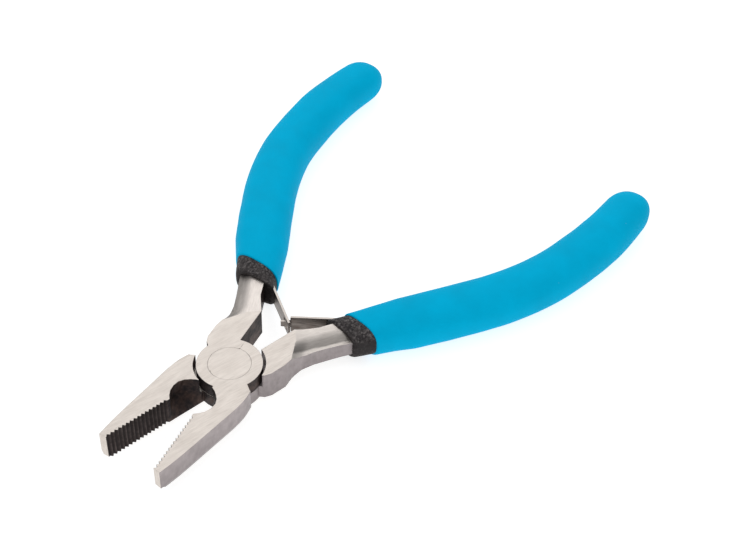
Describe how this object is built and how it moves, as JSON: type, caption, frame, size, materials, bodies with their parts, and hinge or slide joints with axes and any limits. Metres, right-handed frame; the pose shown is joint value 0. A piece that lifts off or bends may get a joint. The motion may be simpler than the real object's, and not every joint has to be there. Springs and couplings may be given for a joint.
{
  "type": "mini combination pliers",
  "caption": "Small spring-opened combination pliers with serrated flat jaws, pipe grip, side cutter, lap joint and dipped handle grips.",
  "frame": {"origin": "on the pivot axis, at the underside of the lap joint", "axes": "+X from the pivot towards the jaw tips, +Z along the pivot axis from the underside of the joint to its top, +Y completes the frame"},
  "size_m": [0.1161, 0.08, 0.0088],
  "materials": {
    "half_steel": "ground and finely brushed",
    "rivet_steel": "ground flush",
    "spring_steel": "rolled spring strip",
    "black_dip": "textured black dip",
    "blue_dip": "satin blue dip"
  },
  "bodies": {
    "handle_a": {"plier_half_a": "half_steel", "pivot_rivet": "rivet_steel", "inner_sleeve_a": "black_dip", "grip_sleeve_a": "blue_dip", "spring_rivet_a": "rivet_steel"},
    "handle_b": {"plier_half_b": "half_steel", "inner_sleeve_b": "black_dip", "grip_sleeve_b": "blue_dip", "spring_rivet_b": "rivet_steel"},
    "leaf_a": {"leaf_spring_a": "spring_steel"},
    "leaf_b": {"leaf_spring_b": "spring_steel"}
  },
  "joints": [
    {"name": "jaw_pivot", "type": "hinge", "parent": "handle_a", "child": "handle_b", "pos_m": [0, 0, 0], "axis": [0, 0, 1], "range_deg": [-7, 23.4], "stiffness_Nm_per_rad": 0.8},
    {"name": "leaf_flex_a", "type": "hinge", "parent": "handle_a", "child": "leaf_a", "pos_m": [-0.0211, -0.0075, 0.0029], "axis": [0, 0, 1], "range_deg": [-26, 9], "deforming": ["leaf_spring_a"]},
    {"name": "leaf_flex_b", "type": "hinge", "parent": "handle_b", "child": "leaf_b", "pos_m": [-0.0211, 0.0075, 0.0029], "axis": [0, 0, 1], "range_deg": [-9, 26], "deforming": ["leaf_spring_b"]}
  ],
  "couplings": [
    {"joint": "leaf_flex_a", "follows": "jaw_pivot", "ratio": -1.07},
    {"joint": "leaf_flex_b", "follows": "jaw_pivot", "ratio": 1.07}
  ]
}
